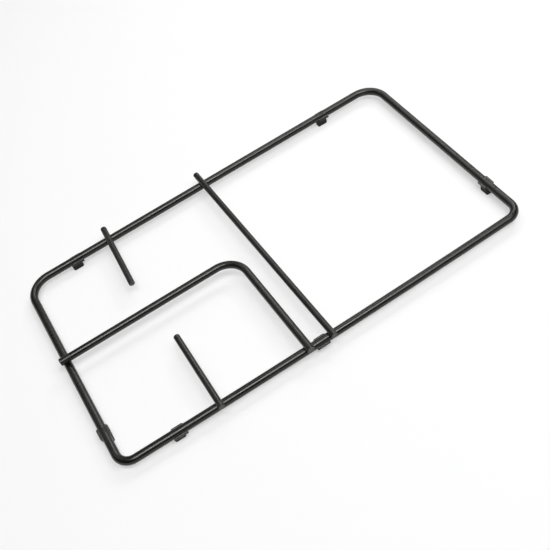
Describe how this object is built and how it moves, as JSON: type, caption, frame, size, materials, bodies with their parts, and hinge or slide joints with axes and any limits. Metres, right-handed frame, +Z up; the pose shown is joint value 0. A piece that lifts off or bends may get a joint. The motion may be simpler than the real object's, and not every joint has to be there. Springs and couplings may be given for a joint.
{
  "type": "stove grate",
  "caption": "Low half-width hob grate: a bowed ring of bent rod with an L-shaped pot bar, a full-width cross bar and short fingers welded on top, on rubber-shod feet.",
  "frame": {"origin": "on the surface that the feet stand on, under the middle of the outline", "axes": "+X along the long rods, to the right as seen from the front; +Y from the front rod to the back rod; +Z up"},
  "size_m": [0.462, 0.2767, 0.0223],
  "materials": {
    "enamel": "satin black enamel on steel rod",
    "rubber": "matt black heat-resistant rubber"
  },
  "bodies": {
    "root": {"outer_frame": "enamel", "cross_bar": "enamel", "corner_bar": "enamel", "rear_finger": "enamel", "front_finger": "enamel", "saddle_back_left": "enamel", "saddle_back_right": "enamel", "saddle_right": "enamel", "saddle_left": "enamel", "saddle_front_left": "enamel", "saddle_front_mid": "enamel", "pad_back_left": "rubber", "pad_back_right": "rubber", "pad_right": "rubber", "pad_left": "rubber", "pad_front_left": "rubber"}
  },
  "joints": []
}
